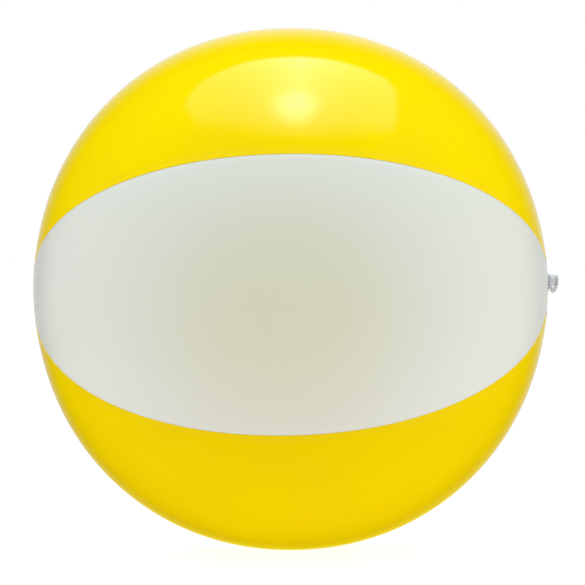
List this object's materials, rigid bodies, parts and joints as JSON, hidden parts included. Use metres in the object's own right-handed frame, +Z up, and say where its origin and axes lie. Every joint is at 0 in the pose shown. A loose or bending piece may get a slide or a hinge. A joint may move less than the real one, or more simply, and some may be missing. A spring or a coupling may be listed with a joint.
{
  "type": "beach ball",
  "caption": "Inflated vinyl beach ball of yellow and white gores lap-welded under round end discs, with a sink-in air valve, its strapped plug and a non-return flap",
  "frame": {"origin": "centre of the flat that the ball rests on, on the floor under the ball's centre", "axes": "+Z up; +X along the ball's polar axis, out through the valve; the front white gore faces -Y"},
  "size_m": [0.3323, 0.33, 0.3292],
  "materials": {
    "yellow_film": "glossy yellow vinyl film",
    "white_film": "glossy off-white vinyl film, slightly see-through",
    "clear_vinyl": "soft clear grey moulded vinyl"
  },
  "bodies": {
    "ball": {"white_gore_front": "white_film", "yellow_gore_upper": "yellow_film", "white_gore_upper_rear": "white_film", "yellow_gore_rear": "yellow_film", "white_gore_lower_rear": "white_film", "yellow_gore_lower": "yellow_film", "valve_end_disc": "white_film", "blind_end_disc": "white_film", "valve_flange": "clear_vinyl", "valve_web": "clear_vinyl"},
    "valve": {"valve_stem": "clear_vinyl", "plug_strap": "clear_vinyl"},
    "plug": {"valve_plug": "clear_vinyl"},
    "flap": {"check_flap": "clear_vinyl"}
  },
  "joints": [
    {"name": "valve_push", "type": "slide", "parent": "ball", "child": "valve", "axis": [-1, 0, 0], "range_m": [0, 0.0065], "deforming": ["valve_web"]},
    {"name": "plug_pull", "type": "slide", "parent": "valve", "child": "plug", "axis": [1, 0, 0], "range_m": [0, 0.0045], "deforming": ["plug_strap"]},
    {"name": "flap_swing", "type": "hinge", "parent": "valve", "child": "flap", "pos_m": [0.1548, 0, 0.16982], "axis": [0, 1, 0], "range_deg": [0, 70]}
  ]
}
